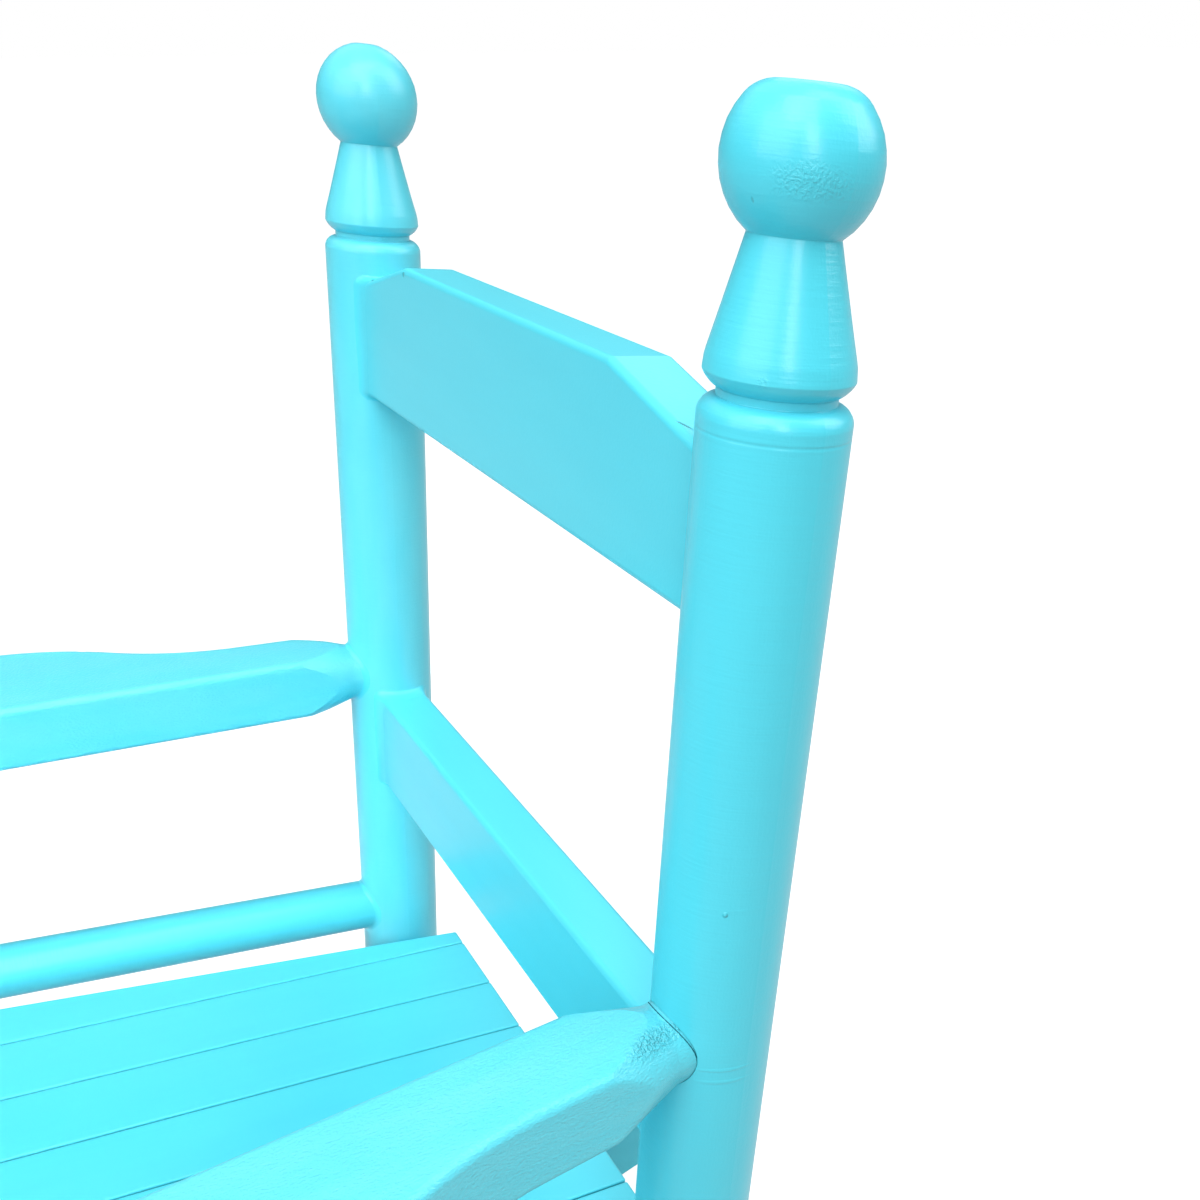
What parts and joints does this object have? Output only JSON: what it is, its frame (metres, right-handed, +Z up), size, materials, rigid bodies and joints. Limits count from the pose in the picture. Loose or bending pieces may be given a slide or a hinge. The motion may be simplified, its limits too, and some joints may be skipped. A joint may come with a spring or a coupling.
{
  "type": "child rocking chair",
  "caption": "Painted wooden rocking chair for a child, with turned back posts and ball finials, flat paddle arms, two back boards, a slatted seat and curved rockers.",
  "frame": {"origin": "on the floor, under the middle of the chair's bounding box", "axes": "+Z up, -Y the way the sitter faces, +X to the sitter's left"},
  "size_m": [0.3695, 0.5116, 0.5862],
  "materials": {
    "paint": "semi-gloss turquoise paint brushed over wood",
    "steel": "zinc-plated steel"
  },
  "bodies": {
    "root": {"arm_left": "paint", "arm_right": "paint", "arm_screws": "steel", "back_post_left": "paint", "back_post_right": "paint", "crest_rail": "paint", "front_post_left": "paint", "front_post_right": "paint", "front_seat_rail": "paint", "front_stretcher": "paint", "lower_back_rail": "paint", "rail_brads": "steel", "rear_seat_rail": "paint", "rear_stretcher": "paint", "rocker_left": "paint", "rocker_right": "paint", "rocker_screws": "steel", "seat_slat_1": "paint", "seat_slat_2": "paint", "seat_slat_3": "paint", "seat_slat_4": "paint", "seat_slat_5": "paint", "seat_slat_6": "paint", "seat_slat_7": "paint", "seat_slat_8": "paint", "side_rail_left": "paint", "side_rail_right": "paint", "side_stretcher_left": "paint", "side_stretcher_right": "paint", "slat_screws": "steel"}
  },
  "joints": []
}
